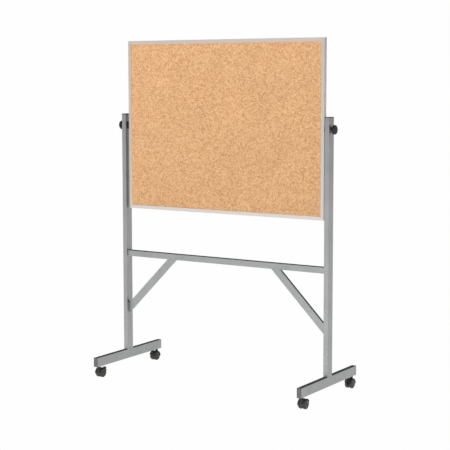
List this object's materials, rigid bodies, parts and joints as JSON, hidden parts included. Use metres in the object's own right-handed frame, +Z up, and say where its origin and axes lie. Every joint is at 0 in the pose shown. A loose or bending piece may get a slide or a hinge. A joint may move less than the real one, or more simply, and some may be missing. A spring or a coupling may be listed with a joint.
{
  "type": "mobile reversible board",
  "caption": "Framed cork and dry-erase board that turns over between two posts of a steel stand on swivel casters.",
  "frame": {"origin": "on the floor under the middle of the stand, at the bottom centre of the bounding box", "axes": "+Z up, +X along the board to the right seen from the cork side, -Y the cork side, +Y the dry-erase side"},
  "size_m": [1.3402, 0.592, 1.823],
  "materials": {
    "silver_tube": "satin silver powder coat",
    "frame_aluminium": "satin anodised",
    "cork": "natural granulated cork",
    "core_board": "raw fibreboard",
    "dry_erase": "gloss white",
    "plated_steel": "zinc plated",
    "grey_plastic": "moulded",
    "dark_plastic": "moulded",
    "nylon": "dark grey nylon",
    "black_rubber": "matt",
    "knob_plastic": "fine grain",
    "caster_plastic": "fine grain",
    "wheel_plastic": "satin nylon"
  },
  "bodies": {
    "stand": {"crossbar": "silver_tube", "post_inserts": "plated_steel", "post_bolts": "plated_steel", "caster_sockets": "plated_steel", "left_post": "silver_tube", "left_foot": "silver_tube", "left_brace": "silver_tube", "left_post_cap": "dark_plastic", "left_foot_end_caps": "grey_plastic", "left_pivot_bushing": "nylon", "right_post": "silver_tube", "right_foot": "silver_tube", "right_brace": "silver_tube", "right_post_cap": "dark_plastic", "right_foot_end_caps": "grey_plastic", "right_pivot_bushing": "nylon", "front_left_caster_stem": "plated_steel", "front_right_caster_stem": "plated_steel", "rear_left_caster_stem": "plated_steel", "rear_right_caster_stem": "plated_steel"},
    "board": {"top_rail": "frame_aluminium", "bottom_rail": "frame_aluminium", "left_rail": "frame_aluminium", "right_rail": "frame_aluminium", "cork_sheet": "cork", "core_panel": "core_board", "whiteboard_sheet": "dry_erase", "corner_keys": "plated_steel", "left_pivot_plate": "plated_steel", "left_friction_disc": "black_rubber", "right_pivot_plate": "plated_steel", "right_friction_disc": "black_rubber"},
    "left_knob_washer": {"left_knob_washer": "plated_steel"},
    "left_knob": {"left_knob": "knob_plastic", "left_knob_stud": "plated_steel"},
    "right_knob_washer": {"right_knob_washer": "plated_steel"},
    "right_knob": {"right_knob": "knob_plastic", "right_knob_stud": "plated_steel"},
    "front_left_caster": {"front_left_caster_hood": "caster_plastic", "front_left_caster_axle": "plated_steel", "front_left_brake_pin": "plated_steel"},
    "front_left_left_wheel": {"front_left_left_wheel": "wheel_plastic"},
    "front_left_right_wheel": {"front_left_right_wheel": "wheel_plastic"},
    "front_left_brake": {"front_left_brake_lever": "caster_plastic"},
    "front_right_caster": {"front_right_caster_hood": "caster_plastic", "front_right_caster_axle": "plated_steel"},
    "front_right_left_wheel": {"front_right_left_wheel": "wheel_plastic"},
    "front_right_right_wheel": {"front_right_right_wheel": "wheel_plastic"},
    "rear_left_caster": {"rear_left_caster_hood": "caster_plastic", "rear_left_caster_axle": "plated_steel"},
    "rear_left_left_wheel": {"rear_left_left_wheel": "wheel_plastic"},
    "rear_left_right_wheel": {"rear_left_right_wheel": "wheel_plastic"},
    "rear_right_caster": {"rear_right_caster_hood": "caster_plastic", "rear_right_caster_axle": "plated_steel", "rear_right_brake_pin": "plated_steel"},
    "rear_right_left_wheel": {"rear_right_left_wheel": "wheel_plastic"},
    "rear_right_right_wheel": {"rear_right_right_wheel": "wheel_plastic"},
    "rear_right_brake": {"rear_right_brake_lever": "caster_plastic"}
  },
  "joints": [
    {"name": "board_tilt", "type": "hinge", "parent": "stand", "child": "board", "pos_m": [0, 0, 1.3658], "axis": [1, 0, 0], "continuous": true},
    {"name": "left_washer_slide", "type": "slide", "parent": "stand", "child": "left_knob_washer", "axis": [-1, 0, 0], "range_m": [0, 0.0023]},
    {"name": "left_knob_turn", "type": "hinge", "parent": "left_knob_washer", "child": "left_knob", "pos_m": [-0.66, 0, 1.3658], "axis": [-1, 0, 0], "range_deg": [0, 540]},
    {"name": "right_washer_slide", "type": "slide", "parent": "stand", "child": "right_knob_washer", "axis": [1, 0, 0], "range_m": [0, 0.0023]},
    {"name": "right_knob_turn", "type": "hinge", "parent": "right_knob_washer", "child": "right_knob", "pos_m": [0.66, 0, 1.3658], "axis": [1, 0, 0], "range_deg": [0, 540]},
    {"name": "front_left_swivel", "type": "hinge", "parent": "stand", "child": "front_left_caster", "pos_m": [-0.6329, -0.266, 0.0595], "axis": [0, 0, 1], "continuous": true},
    {"name": "front_left_left_wheel_spin", "type": "hinge", "parent": "front_left_caster", "child": "front_left_left_wheel", "pos_m": [-0.6329, -0.25, 0.025], "axis": [1, 0, 0], "continuous": true},
    {"name": "front_left_right_wheel_spin", "type": "hinge", "parent": "front_left_caster", "child": "front_left_right_wheel", "pos_m": [-0.6329, -0.25, 0.025], "axis": [1, 0, 0], "continuous": true},
    {"name": "front_left_brake_press", "type": "hinge", "parent": "front_left_caster", "child": "front_left_brake", "pos_m": [-0.6329, -0.23197, 0.03671], "axis": [-1, 0, 0], "range_deg": [0, 18]},
    {"name": "front_right_swivel", "type": "hinge", "parent": "stand", "child": "front_right_caster", "pos_m": [0.6329, -0.266, 0.0595], "axis": [0, 0, 1], "continuous": true},
    {"name": "front_right_left_wheel_spin", "type": "hinge", "parent": "front_right_caster", "child": "front_right_left_wheel", "pos_m": [0.6329, -0.25, 0.025], "axis": [1, 0, 0], "continuous": true},
    {"name": "front_right_right_wheel_spin", "type": "hinge", "parent": "front_right_caster", "child": "front_right_right_wheel", "pos_m": [0.6329, -0.25, 0.025], "axis": [1, 0, 0], "continuous": true},
    {"name": "rear_left_swivel", "type": "hinge", "parent": "stand", "child": "rear_left_caster", "pos_m": [-0.6329, 0.266, 0.0595], "axis": [0, 0, 1], "continuous": true},
    {"name": "rear_left_left_wheel_spin", "type": "hinge", "parent": "rear_left_caster", "child": "rear_left_left_wheel", "pos_m": [-0.6329, 0.25, 0.025], "axis": [1, 0, 0], "continuous": true},
    {"name": "rear_left_right_wheel_spin", "type": "hinge", "parent": "rear_left_caster", "child": "rear_left_right_wheel", "pos_m": [-0.6329, 0.25, 0.025], "axis": [1, 0, 0], "continuous": true},
    {"name": "rear_right_swivel", "type": "hinge", "parent": "stand", "child": "rear_right_caster", "pos_m": [0.6329, 0.266, 0.0595], "axis": [0, 0, 1], "continuous": true},
    {"name": "rear_right_left_wheel_spin", "type": "hinge", "parent": "rear_right_caster", "child": "rear_right_left_wheel", "pos_m": [0.6329, 0.25, 0.025], "axis": [1, 0, 0], "continuous": true},
    {"name": "rear_right_right_wheel_spin", "type": "hinge", "parent": "rear_right_caster", "child": "rear_right_right_wheel", "pos_m": [0.6329, 0.25, 0.025], "axis": [1, 0, 0], "continuous": true},
    {"name": "rear_right_brake_press", "type": "hinge", "parent": "rear_right_caster", "child": "rear_right_brake", "pos_m": [0.6329, 0.23197, 0.03671], "axis": [1, 0, 0], "range_deg": [0, 18]}
  ],
  "couplings": [
    {"joint": "left_washer_slide", "follows": "left_knob_turn", "m_per_rad": 0.00023873},
    {"joint": "right_washer_slide", "follows": "right_knob_turn", "m_per_rad": 0.00023873}
  ]
}
